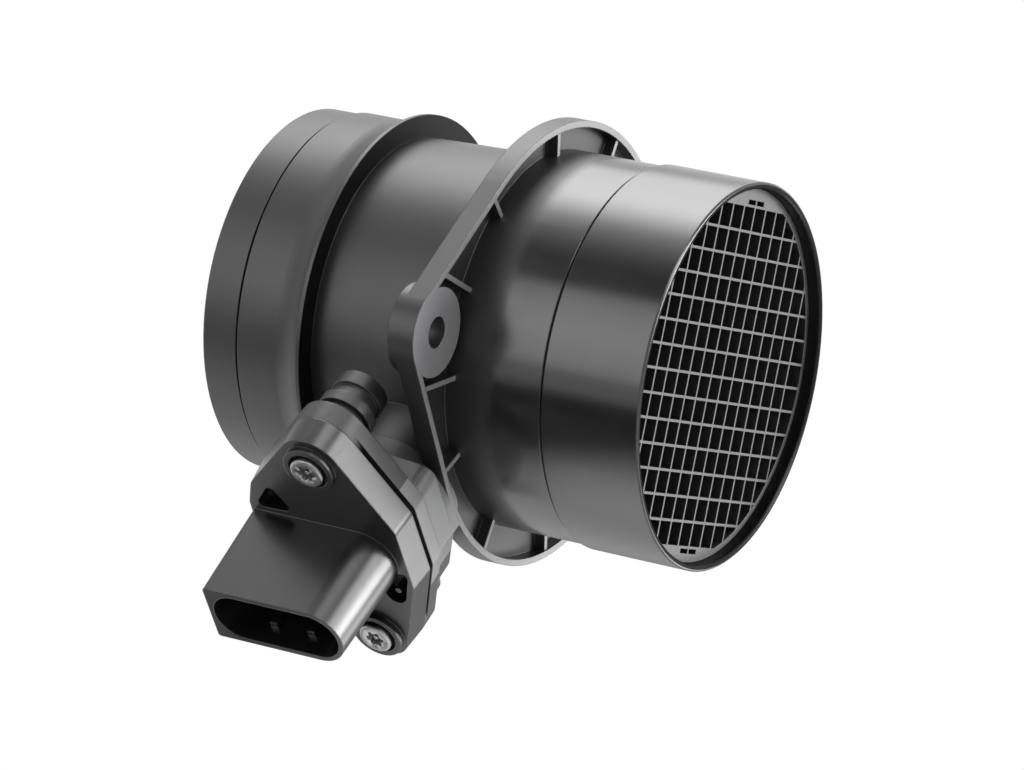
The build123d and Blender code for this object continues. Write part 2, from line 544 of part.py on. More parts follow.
# ================================================================ sensor housing
connector_plane = Plane(
    origin=sensor_plane.from_local_coords((CONNECTOR_X, -CONNECTOR_T, 0)),
    x_dir=sensor_plane.x_dir,
    z_dir=sensor_plane.z_dir,
)
with BuildPart() as sensor_housing:
    # Flange, the raised rings around the screws and the connector's shroud.
    with BuildSketch(sensor_plane.offset(SEAT_H)):
        sensor_outline(-FLANGE_GROWTH)
    extrude(amount=SENSOR_FLANGE_THICK, taper=SENSOR_FLANGE_DRAFT)
    with BuildSketch(sensor_plane.offset(FRONT_H)):
        with Locations(*SCREWS.values()):
            Circle(RING_R)
    extrude(amount=RING_RISE)
    with BuildSketch(connector_plane.offset(FRONT_H)) as root:
        shroud_outline(SHROUD_LENGTH + 2 * DRAFT_GROWTH, SHROUD_WIDTH + 2 * DRAFT_GROWTH)
        fillet(root.vertices().group_by(Axis.X)[0], SHROUD_CORNER_R)
    extrude(amount=SHROUD_HEIGHT, taper=SHROUD_DRAFT)

    # Socket with its guide ribs, and the catch outside.
    with BuildSketch(connector_plane.offset(MOUTH_H)):
        SlotOverall(SHROUD_LENGTH - 2 * SHROUD_WALL, SOCKET_WIDTH)
    extrude(amount=-SOCKET_DEPTH, mode=Mode.SUBTRACT)
    with BuildSketch(connector_plane.offset(SOCKET_FLOOR_H)):
        for key_x in KEYS_UPPER:
            with Locations((key_x, SOCKET_WIDTH / 2)):
                Rectangle(KEY_SIZE[0], 2 * KEY_SIZE[1])
        for key_x in KEYS_LOWER:
            with Locations((key_x, -SOCKET_WIDTH / 2)):
                Rectangle(KEY_SIZE[0], 2 * KEY_SIZE[1])
        with BuildSketch(mode=Mode.INTERSECT):
            SlotOverall(SHROUD_LENGTH - SHROUD_WALL, SHROUD_WIDTH - SHROUD_WALL)
    extrude(amount=SOCKET_DEPTH - KEY_SETBACK)
    with BuildSketch(connector_plane.offset(MOUTH_H - LATCH_FROM_MOUTH)):
        with Locations((0, -SHROUD_WIDTH / 2)):
            Rectangle(LATCH_SIZE[0], 2 * LATCH_SIZE[1])
        with BuildSketch(mode=Mode.SUBTRACT):
            SlotOverall(SHROUD_LENGTH - SHROUD_WALL, SHROUD_WIDTH - SHROUD_WALL)
    extrude(amount=-LATCH_SIZE[2])

    # Hollows in the flange's front, beside the shroud's round end and its square corner.
    for discs in (SIDE_POCKET, CORNER_POCKET):
        with BuildSketch(sensor_plane.offset(FRONT_H)):
            disc_hull(discs, 0)
        extrude(amount=-POCKET_DEPTH, mode=Mode.SUBTRACT)
    with BuildSketch(sensor_plane.offset(FRONT_H - PIN_DROP)):
        with Locations(SIDE_POCKET_PIN[:2]):
            Circle(SIDE_POCKET_PIN[2])
    extrude(amount=PIN_DROP - POCKET_DEPTH)

    # Screw holes with seats for the heads.
    with BuildSketch(sensor_plane.offset(RING_TOP_H)):
        with Locations(*SCREWS.values()):
            Circle(RING_BORE_R)
    extrude(amount=HEAD_SEAT_H - RING_TOP_H, mode=Mode.SUBTRACT)
    with BuildSketch(sensor_plane.offset(SEAT_H)):
        with Locations(*SCREWS.values()):
            Circle(SCREW_R + SCREW_PASS_GAP)
    extrude(amount=SENSOR_FLANGE_THICK, mode=Mode.SUBTRACT)

    # Stem: round neck with the seal's groove, then the flat tray that reaches into the duct.
    with BuildSketch(sensor_plane.offset(STEM_NECK_END_H)):
        with Locations((STEM_X, 0)):
            Circle(STEM_NECK_R)
    extrude(amount=SEAT_H - STEM_NECK_END_H)
    with BuildSketch(sensor_plane.offset(SEAL_GROOVE_H - SEAL_GROOVE_WIDTH / 2)):
        with Locations((STEM_X, 0)):
            Circle(STEM_BORE_R)
            Circle(SEAL_GROOVE_R, mode=Mode.SUBTRACT)
    extrude(amount=SEAL_GROOVE_WIDTH, mode=Mode.SUBTRACT)
    with BuildSketch(sensor_plane.offset(STEM_TIP_H)):
        with Locations((STEM_X, 0)):
            RectangleRounded(STEM_WIDTH, STEM_THICK, STEM_CORNER_R)
    extrude(amount=STEM_NECK_END_H - STEM_TIP_H)

    # Chamber for the electronics and channel for the air, each with a ledge for its cover.
    for bottom_h, top_h, floor_t in (
        (CHAMBER_BOTTOM_H, CHAMBER_TOP_H, CHAMBER_FLOOR_T),
        (CHANNEL_BOTTOM_H, CHANNEL_TOP_H, CHANNEL_FLOOR_T),
    ):
        middle_h, height = (bottom_h + top_h) / 2, top_h - bottom_h
        with BuildSketch(stem_plane.offset(COVER_SEAT_T)):
            with Locations((STEM_X, middle_h)):
                Rectangle(COVER_WIDTH, height + 2 * COVER_LEDGE)
        extrude(amount=STEM_FACE_T, mode=Mode.SUBTRACT)
        with BuildSketch(stem_plane.offset(floor_t)):
            with Locations((STEM_X, middle_h)):
                Rectangle(TRAY_WIDTH, height)
        extrude(amount=COVER_SEAT_T - floor_t, mode=Mode.SUBTRACT)
    with BuildSketch(stem_plane.offset(CHANNEL_FLOOR_T)):
        with Locations((STEM_X + DIVIDER_X, DIVIDER_MIDDLE_H)):
            Circle(DIVIDER_THICK / 2)
        with Locations(((STEM_X + DIVIDER_X + STEM_LEADING_X) / 2, DIVIDER_MIDDLE_H)):
            Rectangle(STEM_LEADING_X - STEM_X - DIVIDER_X - STEM_WALL, DIVIDER_THICK)
    extrude(amount=COVER_SEAT_T - CHANNEL_FLOOR_T)

    # Channel's inlet in the leading face, its outlet in the floor and the slot for the tongue.
    with BuildSketch(stem_plane.offset(CHANNEL_FLOOR_T)):
        with Locations((STEM_LEADING_X, CHANNEL_BOTTOM_H + INLET_HEIGHT / 2)):
            Rectangle(3 * STEM_WALL, INLET_HEIGHT)
    extrude(amount=COVER_SEAT_T - CHANNEL_FLOOR_T, mode=Mode.SUBTRACT)
    with BuildSketch(stem_plane.offset(CHANNEL_FLOOR_T)):
        with Locations((STEM_X + TRAY_WIDTH / 2 - OUTLET_WINDOW[0] / 2, OUTLET_WINDOW_H)):
            Rectangle(*OUTLET_WINDOW)
    extrude(amount=-2 * CHANNEL_FLOOR, mode=Mode.SUBTRACT)
    with BuildSketch(stem_plane.offset(CHAMBER_FLOOR_T)):
        with Locations((STEM_X, BULKHEAD_H)):
            Rectangle(TONGUE_WIDTH + 2 * BASE_GAP, BULKHEAD_THICK)
    extrude(amount=BASE_THICK + BASE_GAP, mode=Mode.SUBTRACT)

    # The pins and the thermistor's wires are moulded in.
    for insert in pin_parts + lead_parts:
        add(insert, mode=Mode.SUBTRACT)
save(sensor_housing.part, "sensor_housing")

# ================================================================ covers
for label, bottom_h, top_h in (
    ("hybrid_cover", CHAMBER_BOTTOM_H, CHAMBER_TOP_H),
    ("channel_cover", CHANNEL_BOTTOM_H, CHANNEL_TOP_H),
):
    with BuildPart() as cover:
        with BuildSketch(stem_plane.offset(COVER_SEAT_T)):
            with Locations((STEM_X, (bottom_h + top_h) / 2)):
                Rectangle(
                    COVER_WIDTH - 2 * COVER_GAP,
                    top_h - bottom_h + 2 * (COVER_LEDGE - COVER_GAP),
                )
        extrude(amount=COVER_THICK)
        chamfer(cover.faces().sort_by(Axis(stem_plane.origin, across))[-1].edges(), COVER_CHAMFER)
    save(cover.part, label)

# ================================================================ electronics
with BuildPart() as base_plate:
    with BuildSketch(stem_plane.offset(CHAMBER_FLOOR_T)):
        with Locations((STEM_X, (CHAMBER_BOTTOM_H + CHAMBER_TOP_H) / 2)):
            Rectangle(
                TRAY_WIDTH - 2 * BASE_GAP,
                CHAMBER_TOP_H - CHAMBER_BOTTOM_H - 2 * BASE_GAP,
            )
        with Locations((STEM_X, (TONGUE_END_H + BULKHEAD_H + BULKHEAD_THICK) / 2)):
            Rectangle(TONGUE_WIDTH, BULKHEAD_H + BULKHEAD_THICK - TONGUE_END_H)
    extrude(amount=BASE_THICK)
save(base_plate.part, "base_plate")

with BuildPart() as hybrid_board:
    board_bottom_h = CHAMBER_BOTTOM_H + BOARD_INSET
    with BuildSketch(stem_plane.offset(BOARD_BACK_T)):
        with Locations((STEM_X, (board_bottom_h + BOARD_TOP_H) / 2)):
            Rectangle(TRAY_WIDTH - 2 * BOARD_INSET, BOARD_TOP_H - board_bottom_h)
    extrude(amount=BOARD_THICK)
save(hybrid_board.part, "hybrid_board")

with BuildPart() as evaluation_chip:
    with BuildSketch(stem_plane.offset(PIN_BOTTOM_T)):
        with Locations((STEM_X, EVALUATION_CHIP_H)):
            Rectangle(EVALUATION_CHIP[0], EVALUATION_CHIP[1])
    extrude(amount=EVALUATION_CHIP[2])
save(evaluation_chip.part, "evaluation_chip")

for index, capacitor_x in enumerate(CAPACITOR_X):
    with BuildPart() as chip_capacitor:
        with BuildSketch(stem_plane.offset(PIN_BOTTOM_T)):
            with Locations((STEM_X + capacitor_x, CAPACITOR_H)):
                Rectangle(CAPACITOR_SIZE[0], CAPACITOR_SIZE[1])
        extrude(amount=CAPACITOR_SIZE[2])
    save(chip_capacitor.part, f"chip_capacitor_{index + 1}")

with BuildPart() as chip_carrier:
    carrier_h = TONGUE_END_H + CARRIER_SIZE[1] / 2
    with BuildSketch(stem_plane.offset(BOARD_BACK_T)):
        with Locations((STEM_X, carrier_h)):
            Rectangle(CARRIER_SIZE[0], CARRIER_SIZE[1])
    extrude(amount=CARRIER_SIZE[2])
    with BuildSketch(stem_plane.offset(BOARD_BACK_T + CARRIER_SIZE[2])):
        with Locations((STEM_X, carrier_h)):
            Rectangle(CHIP_SIZE[0], CHIP_SIZE[1])
    extrude(amount=-CHIP_SIZE[2], mode=Mode.SUBTRACT)
save(chip_carrier.part, "chip_carrier")

with BuildPart() as hot_film_chip:
    with BuildSketch(stem_plane.offset(BOARD_BACK_T + CARRIER_SIZE[2])):
        with Locations((STEM_X, carrier_h)):
            Rectangle(CHIP_SIZE[0], CHIP_SIZE[1])
    extrude(amount=-CHIP_SIZE[2])
save(hot_film_chip.part, "hot_film_chip")

# ================================================================ seal ring
with BuildPart() as seal_ring:
    with BuildSketch(stem_plane):
        with Locations((STEM_X + SEAL_CENTRE_R, SEAL_GROOVE_H)):
            Circle(SEAL_SECTION_R)
    revolve(axis=Axis(stem_plane.from_local_coords((STEM_X, 0, 0)), outward))
save(seal_ring.part, "seal_ring")

# ================================================================ screws
for name, place in SCREWS.items():
    with BuildPart() as screw:
        with BuildSketch(sensor_plane.offset(SCREW_END_H)):
            with Locations(place):
                Circle(SCREW_R)
        extrude(amount=SCREW_LENGTH)
        along = Axis(sensor_plane.origin, outward)
        chamfer(screw.edges().sort_by(along)[0], SCREW_TIP_CHAMFER)
        with BuildSketch(sensor_plane.offset(HEAD_SEAT_H)):
            with Locations(place):
                Circle(HEAD_R)
        extrude(amount=HEAD_HEIGHT)
        fillet(screw.edges().sort_by(along)[-1], HEAD_EDGE)
        star_x, star_y = place
        with BuildSketch(sensor_plane.offset(HEAD_SEAT_H + HEAD_HEIGHT)):
            with Locations(place):
                Circle(STAR_R - STAR_LOBE_R)
            lobe_r = STAR_R - STAR_LOBE_R
            for lobe in range(STAR_LOBES):
                turn = radians(360 * lobe / STAR_LOBES)
                with Locations((star_x + lobe_r * cos(turn), star_y + lobe_r * sin(turn))):
                    Circle(STAR_LOBE_R)
            with Locations(place):
                Circle(STAR_PIN_R, mode=Mode.SUBTRACT)
        extrude(amount=-STAR_DEPTH, mode=Mode.SUBTRACT)
    save(screw.part, f"screw_{name}")
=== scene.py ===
"""Looks of the mass airflow sensor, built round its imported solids.

Everything is in metres in the solids' own frame: +X runs along the duct towards the inlet grid,
+Z is up and the flange's ears lie on Y. The solids keep their shapes and get their finishes here.
The woven wire screen and the two star screws are worked out as surfaces, and stand for their
solids.
"""
import logging
from collections.abc import Mapping, Sequence
from dataclasses import dataclass, field
from enum import Enum
from math import cos, pi, radians, sin

import bmesh
import bpy
import numpy as np
from mathutils import Matrix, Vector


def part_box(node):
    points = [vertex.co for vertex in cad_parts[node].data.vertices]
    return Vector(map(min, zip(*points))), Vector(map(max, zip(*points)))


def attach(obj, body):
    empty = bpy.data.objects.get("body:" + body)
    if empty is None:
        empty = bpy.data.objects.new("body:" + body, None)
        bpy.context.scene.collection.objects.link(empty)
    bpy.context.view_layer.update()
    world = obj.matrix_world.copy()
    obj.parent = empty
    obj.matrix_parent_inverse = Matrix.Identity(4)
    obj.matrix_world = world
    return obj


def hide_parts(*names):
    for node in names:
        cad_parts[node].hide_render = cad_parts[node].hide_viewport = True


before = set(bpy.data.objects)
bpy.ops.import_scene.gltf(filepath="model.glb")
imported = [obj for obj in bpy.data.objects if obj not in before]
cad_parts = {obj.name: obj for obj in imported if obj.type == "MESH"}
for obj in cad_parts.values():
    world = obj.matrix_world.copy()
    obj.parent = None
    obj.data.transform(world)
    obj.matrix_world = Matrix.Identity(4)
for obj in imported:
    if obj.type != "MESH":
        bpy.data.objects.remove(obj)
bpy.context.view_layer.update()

log = logging.getLogger("airflow_sensor")
MM = 0.001
BODY = "root"

Colour = tuple[float, float, float]
Opaque = tuple[float, float, float, float]
Place = tuple[float, float, float]
Band = tuple[float, float]
Stops = Sequence[tuple[float, float]]
Surface = tuple[np.ndarray, np.ndarray]

BLACK: Opaque = (0.0, 0.0, 0.0, 1.0)
WHITE: Opaque = (1.0, 1.0, 1.0, 1.0)
FAR = 1.0  # beyond every face of the part
POINT_RADIUS = 1e-7  # of the rings that close a turned surface


# ---------------------------------------------------------------- shader maths
class Signal:
    """A node's output that takes part in Python expressions, each adding its Math node."""

    def __init__(self, graph: "Graph", socket: bpy.types.NodeSocket | None) -> None:
        """Keep the output socket, if there is one, and the graph that it belongs to."""
        self.graph = graph
        self.socket = socket

    def _math(self, operation: str, first: object, second: object = 0.0) -> "Signal":
        """Add one Math node.

        Args:
            operation: the Math node's operation.
            first: its first value, a number or a signal.
            second: its second value, a number or a signal.

        Returns:
            The node's result.
        """
        values = {0: first, 1: second}
        return self.graph.node("ShaderNodeMath", {"operation": operation}, values)

    def __add__(self, other: object) -> "Signal":
        """Return self + other."""
        return self._math("ADD", self, other)

    __radd__ = __add__

    def __sub__(self, other: object) -> "Signal":
        """Return self - other."""
        return self._math("SUBTRACT", self, other)

    def __rsub__(self, other: object) -> "Signal":
        """Return other - self."""
        return self._math("SUBTRACT", other, self)

    def __mul__(self, other: object) -> "Signal":
        """Return self * other."""
        return self._math("MULTIPLY", self, other)

    __rmul__ = __mul__

    def __truediv__(self, other: object) -> "Signal":
        """Return self / other."""
        return self._math("DIVIDE", self, other)

    def __rtruediv__(self, other: object) -> "Signal":
        """Return other / self."""
        return self._math("DIVIDE", other, self)

    def clipped(self) -> "Signal":
        """Return self held between 0 and 1."""
        return self.graph.node("ShaderNodeClamp", {}, {0: self})

    def between(self, low: float, high: float) -> "Signal":
        """Return 1 where self lies between low and high, and 0 elsewhere."""
        return self._math("GREATER_THAN", self, low) * self._math("LESS_THAN", self, high)

    def through(self, stops: Stops) -> "Signal":
        """Return the broken line through the stops, level beyond the first and the last.

        Args:
            stops: places along self, rising, each with the value there.

        Returns:
            The value at self.
        """
        total = self * 0.0 + stops[0][1]
        for (start, low), (end, high) in zip(stops, stops[1:]):
            total = total + ((self - start) / (end - start)).clipped() * (high - low)
        return total


class Graph:
    """The node tree of one material or of the world."""

    def __init__(self, tree: bpy.types.NodeTree) -> None:
        """Empty the tree."""
        self.tree = tree
        tree.nodes.clear()

    def node(
        self,
        kind: str,
        settings: Mapping[str, object],
        values: Mapping[str | int, object],
        output: str | int = 0,
    ) -> Signal:
        """Add any node.

        Args:
            kind: the node's type.
            settings: its properties, set before its sockets.
            values: numbers, colours or signals for its input sockets, by name or number.
            output: the output socket that is returned.

        Returns:
            The chosen output.
        """
        made = self.tree.nodes.new(kind)
        for name, setting in settings.items():
            setattr(made, name, setting)
        for name, value in values.items():
            if isinstance(value, Signal):
                self.tree.links.new(value.socket, made.inputs[name])
            else:
                made.inputs[name].default_value = value
        return Signal(self, made.outputs[output] if len(made.outputs) else None)

    def place(self, stretch: Place = (1.0, 1.0, 1.0), turn: Place = (0.0, 0.0, 0.0)) -> Signal:
        """Place a pattern on the object.

        Args:
            stretch: factor along each axis.
            turn: angle about each axis.

        Returns:
            The object's own coordinates, turned and stretched.
        """
        coordinates = self.node("ShaderNodeTexCoord", {}, {}, "Object")
        values = {"Vector": coordinates, "Rotation": turn, "Scale": stretch}
        return self.node("ShaderNodeMapping", {"vector_type": "POINT"}, values)

    def noise(self, size: float, where: Signal, detail: float = 2.0) -> Signal:
        """Return cloudy noise between 0 and 1 with lumps of a given size in metres."""
        values = {"Vector": where, "Scale": 1.0 / size, "Detail": detail, "Roughness": 0.5}
        return self.node("ShaderNodeTexNoise", {}, values)

    def blend(self, factor: object, first: object, second: object) -> Signal:
        """Mix two colours by a factor."""
        values = {0: factor, 6: first, 7: second}
        return self.node("ShaderNodeMix", {"data_type": "RGBA", "clamp_factor": True}, values, 2)

    def along(self, where: Signal, axis: str) -> Signal:
        """Return one coordinate of a place or a direction."""
        return self.node("ShaderNodeSeparateXYZ", {}, {0: where}, axis)

    def length(self, where: Signal) -> Signal:
        """Return the length of a vector."""
        return self.node("ShaderNodeVectorMath", {"operation": "LENGTH"}, {0: where}, "Value")

    def rounded(self, radius: float) -> Signal:
        """Return the normal with the edges rounded over a radius in metres."""
        return self.node("ShaderNodeBevel", {"samples": 6}, {"Radius": radius})

    def edges(self, rounded: Signal, gain: float) -> Signal:
        """Find the edges: where the rounded normal leaves the face's own.

        Args:
            rounded: the normal with rounded edges.
            gain: how fast the mask rises.

        Returns:
            A mask of the edges.
        """
        true = self.node("ShaderNodeNewGeometry", {}, {}, "Normal")
        settings = {"operation": "DOT_PRODUCT"}
        along = self.node("ShaderNodeVectorMath", settings, {0: rounded, 1: true}, "Value")
        return ((1.0 - along) * gain).clipped()

    def facing_front(self, start: float = 0.6, gain: float = 4.0) -> Signal:
        """Find the faces that look towards the mouth, along +X.

        Args:
            start: cosine at which the mask starts.
            gain: how fast it rises.

        Returns:
            A mask of those faces.
        """
        own = self.node("ShaderNodeTexCoord", {}, {}, "Normal")
        return ((self.along(own, "X") - start) * gain).clipped()

    def bump(self, height: Signal, depth: float, normal: Signal | None = None) -> Signal:
        """Turn a height pattern into a normal.

        Args:
            height: the pattern, from 0 to 1.
            depth: its depth in metres.
            normal: the normal that it starts from, if not the face's own.

        Returns:
            The normal.
        """
        values: dict[str | int, object] = {"Height": height, "Distance": depth, "Strength": 1.0}
        if normal is not None:
            values["Normal"] = normal
        return self.node("ShaderNodeBump", {}, values)

    def surface(
        self,
        values: Mapping[str | int, object],
        matt: Signal | None = None,
        matt_colour: Opaque = BLACK,
    ) -> None:
        """End a material in one principled shader, or in a matt one where a mask asks for it.

        Args:
            values: the principled shader's inputs.
            matt: mask of the places without any sheen.
            matt_colour: colour there.
        """
        shader = self.node("ShaderNodeBsdfPrincipled", {}, values)
        if matt is not None:
            dry = {"Base Color": matt_colour, "Roughness": 1.0, "Specular IOR Level": 0.0}
            plain = self.node("ShaderNodeBsdfPrincipled", {}, dry)
            shader = self.node("ShaderNodeMixShader", {}, {0: matt, 1: shader, 2: plain})
        self.node("ShaderNodeOutputMaterial", {}, {"Surface": shader})


def opaque(colour: Colour, level: float = 1.0) -> Opaque:
    """Return a colour with its alpha, lightened or darkened by a level."""
    red, green, blue = (min(1.0, part * level) for part in colour)
    return red, green, blue, 1.0


def new_graph(name: str) -> tuple[bpy.types.Material, Graph]:
    """Make a material.

    Args:
        name: the material's name.

    Returns:
        The material and its empty graph.
    """
    material = bpy.data.materials.new(name)
    material.use_nodes = True
    return material, Graph(material.node_tree)


# ---------------------------------------------------------------- finishes
@dataclass(frozen=True)
class MouldedPlastic:
    """Injection-moulded plastic: cloudy colour, fine grain, rounded edges with a painted
    highlight.

    The bands are stretches along X. A polish may start at one X. Faces that look along +X may have
    a lighter colour in one band, a painted highlight, and be matt and dark in another, painted
    shade.
    A groove's band is matt and dark all round, painted shade, and so is what lies beyond the
    mouth's X and nearer the axis than its radius.
    """

    name: str
    colour: Colour
    mottle: float = 0.10
    roughness: float = 0.27
    roughness_range: float = 0.07
    specular: float = 0.5
    cloud_size: float = 7.0 * MM
    cloud_share: float = 0.6
    grain_size: float = 0.35 * MM
    grain_depth: float = 0.0022 * MM
    grain_roughness: float = 0.04
    flow_size: float = 22.0 * MM
    flow_stretch: Place = (0.35, 1.0, 1.0)
    edge_radius: float = 0.32 * MM
    edge_gain: float = 2.2
    # The next two set the painted highlight on the edges: how much lighter the colour is there,
    # and how much of that is used.
    edge_highlight_level: float = 2.4
    edge_highlight_share: float = 0.7
    polish_from: float | None = None
    polish_run: float = 3.0 * MM
    polished: float = 0.15
    # Painted highlight: the colour of faces that look along +X, within the band below.
    front_painted_highlight: Colour | None = None
    front_highlight_band: Band = (-FAR, FAR)
    # Painted shade: places that are matt and dark. These are front faces in one band, a groove,
    # and the inside of the mouth.
    painted_shade_band: Band | None = None
    painted_shade_band_share: float = 0.8
    painted_shade_groove: Band = (FAR, FAR)
    painted_shade_groove_share: float = 0.9
    painted_shade_mouth: Band = (FAR, 0.0)
    painted_shade_mouth_share: float = 0.85

    def _painted_shade(self, graph: Graph, along: Signal) -> Signal | None:
        """Find the places without sheen and in the dark colour: painted shade.

        Args:
            graph: the material's graph.
            along: place along X.

        Returns:
            Their mask, or None for a finish that has none.
        """
        if self.painted_shade_band is None:
            return None
        # Painted shade on front faces in the band, in the groove and inside the mouth.
        front = graph.facing_front() * along.between(*self.painted_shade_band) * self.painted_shade_band_share
        groove = along.between(*self.painted_shade_groove) * self.painted_shade_groove_share
        off_axis = graph.length(graph.place((0.0, 1.0, 1.0)))
        start, radius = self.painted_shade_mouth
        mouth = along.between(start, FAR) * off_axis.between(0.0, radius) * self.painted_shade_mouth_share
        return front + groove + mouth

    def build(self) -> bpy.types.Material:
        """Make the material.

        Returns:
            The finished material.
        """
        material, graph = new_graph(self.name)
        where = graph.place()
        cloud = graph.noise(self.cloud_size, where, 3.0)
        grain = graph.noise(self.grain_size, where, 2.0)
        flow = graph.noise(self.flow_size, graph.place(self.flow_stretch), 1.0)
        rounded = graph.rounded(self.edge_radius)
        edge = graph.edges(rounded, self.edge_gain)
        dark = opaque(self.colour, 1.0 - self.mottle)
        light = opaque(self.colour, 1.0 + self.mottle)
        clouds = cloud * self.cloud_share + flow * (1.0 - self.cloud_share)
        base = graph.blend(clouds, dark, light)
        along = graph.along(where, "X")
        # Painted highlight: faces that look along +X within the band take the lighter front
        # colour.
        if self.front_painted_highlight is not None:
            facing = graph.facing_front() * along.between(*self.front_highlight_band)
            base = graph.blend(facing, base, opaque(self.front_painted_highlight))
        # Painted highlight: the base colour is lightened along the edges.
        edge_highlit_base = graph.blend(edge * self.edge_highlight_share, base, opaque(self.colour, self.edge_highlight_level))
        rough = self.roughness + (cloud - 0.5) * self.roughness_range
        rough = rough + (grain - 0.5) * self.grain_roughness
        if self.polish_from is not None:
            shine = ((along - self.polish_from) / self.polish_run).clipped()
            rough = rough + (self.polished - self.roughness) * shine
        # Painted shade: these places lose their sheen and take the dark colour.
        matt = self._painted_shade(graph, along)
        graph.surface(
            {
                "Base Color": edge_highlit_base,
                "Roughness": rough,
                "Specular IOR Level": self.specular,
                "Normal": graph.bump(grain, self.grain_depth, rounded),
            },
            matt,
            dark,
        )
        return material


@dataclass(frozen=True)
class WorkedMetal:
    """Rolled, drawn or plated metal with fine lines along one direction."""

    name: str
    colour: Colour
    roughness: float = 0.30
    line_stretch: Place = (1.0, 1.0, 1.0)
    line_size: float = 0.12 * MM
    line_depth: float = 0.0012 * MM
    line_roughness: float = 0.16
    stain: float = 0.12
    stain_size: float = 2.5 * MM
    stain_roughness: float = 0.08
    edge_radius: float = 0.10 * MM

    def build(self) -> bpy.types.Material:
        """Make the material.

        Returns:
            The finished material.
        """
        material, graph = new_graph(self.name)
        lines = graph.noise(self.line_size, graph.place(self.line_stretch), 3.0)
        stains = graph.noise(self.stain_size, graph.place(), 3.0)
        rounded = graph.rounded(self.edge_radius)
        dull = opaque(self.colour, 1.0 - self.stain)
        base = graph.blend(stains, dull, opaque(self.colour))
        rough = self.roughness + (lines - 0.5) * self.line_roughness
        graph.surface(
            {
                "Base Color": base,
                "Metallic": 1.0,
                "Roughness": rough + (stains - 0.5) * self.stain_roughness,
                "Normal": graph.bump(lines, self.line_depth, rounded),
            }
        )
        return material


@dataclass(frozen=True)
class FiredCeramic:
    """Fired ceramic or polished silicon: faint speckle under a thin glaze."""

    name: str
    colour: Colour
    speckle: float = 0.08
    speck_size: float = 0.18 * MM
    speck_depth: float = 0.001 * MM
    roughness: float = 0.35
    roughness_range: float = 0.1
    edge_radius: float = 0.05 * MM

    def build(self) -> bpy.types.Material:
        """Make the material.

        Returns:
            The finished material.
        """
        material, graph = new_graph(self.name)
        specks = graph.noise(self.speck_size, graph.place(), 2.0)
        base = graph.blend(specks, opaque(self.colour, 1.0 - self.speckle), opaque(self.colour))
        graph.surface(
            {
                "Base Color": base,
                "Roughness": self.roughness + (specks - 0.5) * self.roughness_range,
                "Normal": graph.bump(specks, self.speck_depth, graph.rounded(self.edge_radius)),
            }
        )
        return material


@dataclass(frozen=True)
class SealRubber:
    """Moulded rubber with a dry bloom."""

    name: str
    colour: Colour
    clean_level: float = 0.8
    bloom_level: float = 1.5
    bloom_size: float = 1.5 * MM
    bloom_depth: float = 0.004 * MM
    roughness: float = 0.55
    roughness_range: float = 0.2

    def build(self) -> bpy.types.Material:
        """Make the material.

        Returns:
            The finished material.
        """
        material, graph = new_graph(self.name)
        bloom = graph.noise(self.bloom_size, graph.place(), 3.0)
        clean = opaque(self.colour, self.clean_level)
        base = graph.blend(bloom, clean, opaque(self.colour, self.bloom_level))
        graph.surface(
            {
                "Base Color": base,
                "Roughness": self.roughness + bloom * self.roughness_range,
                "Normal": graph.bump(bloom, self.bloom_depth),
            }
        )
        return material


class Finish(Enum):
    """The material slots, each with its finish."""

    HOUSING = MouldedPlastic(
        "housing_plastic",
        (0.0115, 0.012, 0.0125),
        roughness=0.42,
        specular=0.7,
        polish_from=6.0 * MM,
        polished=0.20,
        # Painted highlight on the faces that look along +X, between -2 and 8 mm: the flange and
        # its ears.
        front_painted_highlight=(0.23, 0.232, 0.238),
        front_highlight_band=(-2.0 * MM, 8.0 * MM),
        # Painted shade: matt and dark on the faces that look along +X between -45 and -15 mm, in
        # the score groove and inside the mouth.
        painted_shade_band=(-45.0 * MM, -15.0 * MM),
        painted_shade_groove=(-54.48 * MM, -53.72 * MM),
        painted_shade_mouth=(37.0 * MM, 40.5 * MM),
    )
    SENSOR = MouldedPlastic(
        "sensor_plastic",
        (0.0065, 0.0067, 0.007),
        roughness=0.30,
        specular=0.7,
        cloud_size=5.0 * MM,
    )
    GRID = MouldedPlastic(
        "grid_plastic",
        (0.010, 0.010, 0.011),
        roughness=0.45,
        edge_radius=0.12 * MM,
        # Painted highlight on the bars' edges.
        edge_highlight_level=4.0,
        # Painted highlight on the bars' front faces.
        front_painted_highlight=(0.075, 0.075, 0.078),
    )
    CHIP = MouldedPlastic(
        # Painted highlight on the chips' edges.
        "chip_black", (0.022, 0.022, 0.025), roughness=0.5, edge_radius=0.06 * MM, edge_highlight_level=1.6
    )
    SCREEN = WorkedMetal("screen_steel", (0.60, 0.60, 0.61), line_depth=0.0008 * MM)
    BASE = WorkedMetal("base_aluminium", (0.80, 0.81, 0.82), line_stretch=(0.08, 1.0, 1.0))
    PIN = WorkedMetal("pin_tin", (0.78, 0.78, 0.76), roughness=0.24, line_stretch=(1.0, 0.2, 0.2))
    SCREW = WorkedMetal("screw_steel", (0.30, 0.30, 0.305), roughness=0.34)
    BOARD = FiredCeramic("board_ceramic", (0.82, 0.83, 0.80))
    SILICON = FiredCeramic("chip_silicon", (0.16, 0.18, 0.24), roughness=0.12)
    BEAD = FiredCeramic("bead_glass", (0.25, 0.14, 0.08), roughness=0.1)
    SEAL = SealRubber("seal_rubber", (0.035, 0.035, 0.036))

    @property
    def slot(self) -> str:
        """Return the slot's name."""
        return self.value.name


